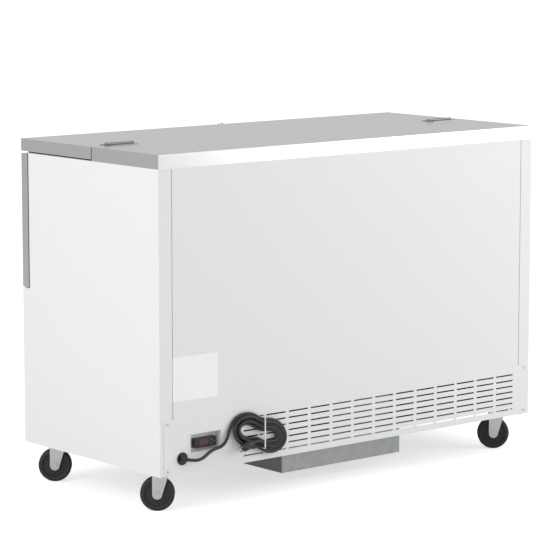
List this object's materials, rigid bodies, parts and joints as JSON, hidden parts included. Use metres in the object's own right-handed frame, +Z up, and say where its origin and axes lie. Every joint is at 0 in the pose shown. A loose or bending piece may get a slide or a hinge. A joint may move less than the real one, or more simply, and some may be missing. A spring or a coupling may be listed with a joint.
{
  "type": "drop front chest cooler",
  "caption": "Long chest cooler on swivel casters with a hinged half lid, a drop-down front door, a louvred rear cover and a hanked power cord.",
  "frame": {"origin": "on the floor under the middle of the overall box without its cord", "axes": "+Z up, +Y to the louvred rear, +X to the right of someone facing the front door"},
  "size_m": [1.48, 0.724, 1.0432],
  "materials": {
    "painted": "white powder coat, satin",
    "stainless": "brushed stainless",
    "galvanised": "galvanised sheet",
    "zinc": "bright zinc plate",
    "hinge_steel": "plain steel",
    "foam": "rigid foam",
    "liner": "bright liner sheet",
    "white_plastic": "moulded",
    "gasket": "soft bulb seal",
    "black_plastic": "moulded",
    "window": "tinted lens",
    "button": "moulded",
    "rack_wire": "coated bar",
    "compressor_black": "black enamel",
    "coil_fin": "finned",
    "copper": "copper tube",
    "fan_blade": "pressed blade",
    "wheel": "moulded",
    "cord": "cord jacket",
    "tie": "moulded",
    "brass": "plated blades",
    "screw": "plated"
  },
  "bodies": {
    "cabinet": {"base_pan": "galvanised", "side_panel_right": "painted", "side_panel_left": "painted", "rear_panel": "painted", "lower_front_panel": "painted", "foam_floor": "foam", "foam_right": "foam", "foam_left": "foam", "foam_rear": "foam", "foam_front": "foam", "well_liner": "liner", "breaker_strips": "white_plastic", "floor_racks": "rack_wire", "fixed_top": "stainless", "rear_cover": "painted", "cover_screws": "screw", "controller_pocket": "white_plastic", "controller_body": "black_plastic", "controller_window": "window", "lid_hinge_fixed": "hinge_steel", "door_hinge_fixed": "hinge_steel", "drop_pan": "galvanised", "compressor": "compressor_black", "condenser_coil": "coil_fin", "condenser_shroud": "galvanised", "refrigerant_lines": "copper", "evaporator_housing": "liner", "evaporator_coil": "coil_fin", "caster_plates": "zinc", "cord_gland": "black_plastic", "cord_lead": "cord", "cord_hank": "cord", "cord_tie": "tie", "plug_body": "cord", "plug_blades": "brass"},
    "lid": {"lid_skin": "stainless", "lid_foam": "foam", "lid_liner": "liner", "lid_gasket": "gasket", "lock_body": "screw", "lid_hinge_moving": "hinge_steel"},
    "lock": {"lock_plug": "screw"},
    "door": {"door_skin": "stainless", "door_foam": "foam", "door_liner": "liner", "door_gasket": "gasket", "door_hinge_moving": "hinge_steel"},
    "button_set": {"button_set": "button"},
    "button_up": {"button_up": "button"},
    "button_down": {"button_down": "button"},
    "condenser_fan": {"condenser_fan": "fan_blade"},
    "evaporator_fan": {"evaporator_fan": "fan_blade"},
    "caster_front_right": {"caster_fork_front_right": "zinc"},
    "wheel_front_right": {"caster_wheel_front_right": "wheel"},
    "caster_front_left": {"caster_fork_front_left": "zinc"},
    "wheel_front_left": {"caster_wheel_front_left": "wheel"},
    "caster_rear_right": {"caster_fork_rear_right": "zinc"},
    "wheel_rear_right": {"caster_wheel_rear_right": "wheel"},
    "caster_rear_left": {"caster_fork_rear_left": "zinc"},
    "wheel_rear_left": {"caster_wheel_rear_left": "wheel"}
  },
  "joints": [
    {"name": "lid_hinge", "type": "hinge", "parent": "cabinet", "child": "lid", "pos_m": [0, 0.0216, 1.0392], "axis": [-1, 0, 0], "range_deg": [0, 180]},
    {"name": "lock_turn", "type": "hinge", "parent": "lid", "child": "lock", "pos_m": [-0.018, -0.3201, 1.035], "axis": [0, 0, -1], "range_deg": [0, 90]},
    {"name": "door_hinge", "type": "hinge", "parent": "cabinet", "child": "door", "pos_m": [0, -0.3383, 0.5875], "axis": [1, 0, 0], "range_deg": [0, 180]},
    {"name": "button_set_press", "type": "slide", "parent": "cabinet", "child": "button_set", "axis": [0, -1, 0], "range_m": [0, 0.001], "stiffness_N_per_m": 300},
    {"name": "button_up_press", "type": "slide", "parent": "cabinet", "child": "button_up", "axis": [0, -1, 0], "range_m": [0, 0.001], "stiffness_N_per_m": 300},
    {"name": "button_down_press", "type": "slide", "parent": "cabinet", "child": "button_down", "axis": [0, -1, 0], "range_m": [0, 0.001], "stiffness_N_per_m": 300},
    {"name": "condenser_fan_spin", "type": "hinge", "parent": "cabinet", "child": "condenser_fan", "pos_m": [-0.085, 0.1989, 0.1455], "axis": [0, 1, 0], "continuous": true},
    {"name": "evaporator_fan_spin", "type": "hinge", "parent": "cabinet", "child": "evaporator_fan", "pos_m": [-0.613, 0.0354, 0.7582], "axis": [1, 0, 0], "continuous": true},
    {"name": "swivel_front_right", "type": "hinge", "parent": "cabinet", "child": "caster_front_right", "pos_m": [0.676, -0.2331, 0.121], "axis": [0, 0, 1], "continuous": true},
    {"name": "roll_front_right", "type": "hinge", "parent": "caster_front_right", "child": "wheel_front_right", "pos_m": [0.69132, -0.24596, 0.05], "axis": [0.6428, 0.766, 0], "continuous": true},
    {"name": "swivel_front_left", "type": "hinge", "parent": "cabinet", "child": "caster_front_left", "pos_m": [-0.676, -0.2331, 0.121], "axis": [0, 0, 1], "continuous": true},
    {"name": "roll_front_left", "type": "hinge", "parent": "caster_front_left", "child": "wheel_front_left", "pos_m": [-0.66068, -0.24596, 0.05], "axis": [0.6428, 0.766, 0], "continuous": true},
    {"name": "swivel_rear_right", "type": "hinge", "parent": "cabinet", "child": "caster_rear_right", "pos_m": [0.676, 0.2739, 0.121], "axis": [0, 0, 1], "continuous": true},
    {"name": "roll_rear_right", "type": "hinge", "parent": "caster_rear_right", "child": "wheel_rear_right", "pos_m": [0.69132, 0.26104, 0.05], "axis": [0.6428, 0.766, 0], "continuous": true},
    {"name": "swivel_rear_left", "type": "hinge", "parent": "cabinet", "child": "caster_rear_left", "pos_m": [-0.676, 0.2739, 0.121], "axis": [0, 0, 1], "continuous": true},
    {"name": "roll_rear_left", "type": "hinge", "parent": "caster_rear_left", "child": "wheel_rear_left", "pos_m": [-0.66068, 0.26104, 0.05], "axis": [0.6428, 0.766, 0], "continuous": true}
  ]
}
